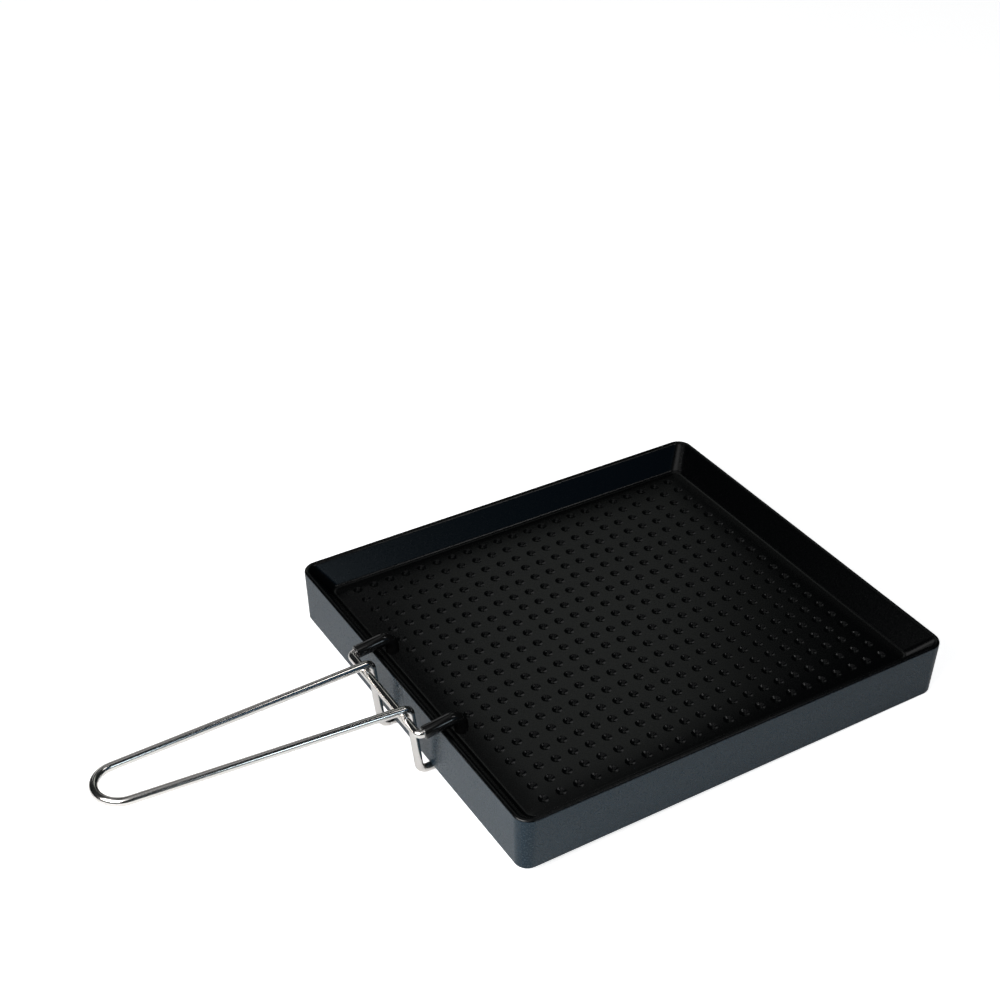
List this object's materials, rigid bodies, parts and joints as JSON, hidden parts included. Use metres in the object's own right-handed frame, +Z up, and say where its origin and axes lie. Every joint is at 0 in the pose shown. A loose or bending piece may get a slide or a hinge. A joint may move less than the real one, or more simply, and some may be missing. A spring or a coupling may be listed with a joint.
{
  "type": "camp griddle plate",
  "caption": "Rectangular camp griddle plate with a shallow dimpled cooking tray, sloping inner sides, an open underside and a wire loop handle that clips over the rim.",
  "frame": {"origin": "bottom centre of the whole object's box: the level of the handle's two feet, below the middle", "axes": "+Z up; -X towards the tip of the handle; +Y to the left of someone looking from the handle along +X"},
  "size_m": [0.4232, 0.232, 0.0499],
  "materials": {
    "coated_plate": "dark satin non-stick coating inside, blue-grey satin outside",
    "plated_wire": "bright plated round steel wire",
    "black_sleeve": "black heat-proof sleeve, soft gloss"
  },
  "bodies": {
    "plate": {"griddle_plate": "coated_plate"},
    "handle": {"handle_loop": "plated_wire", "rim_clip": "plated_wire", "left_sleeve": "black_sleeve", "right_sleeve": "black_sleeve"}
  },
  "joints": [
    {"name": "handle_tilt", "type": "hinge", "parent": "plate", "child": "handle", "pos_m": [-0.03636, -0.0048, 0.03583], "axis": [0, 1, 0], "range_deg": [0, 35]}
  ]
}
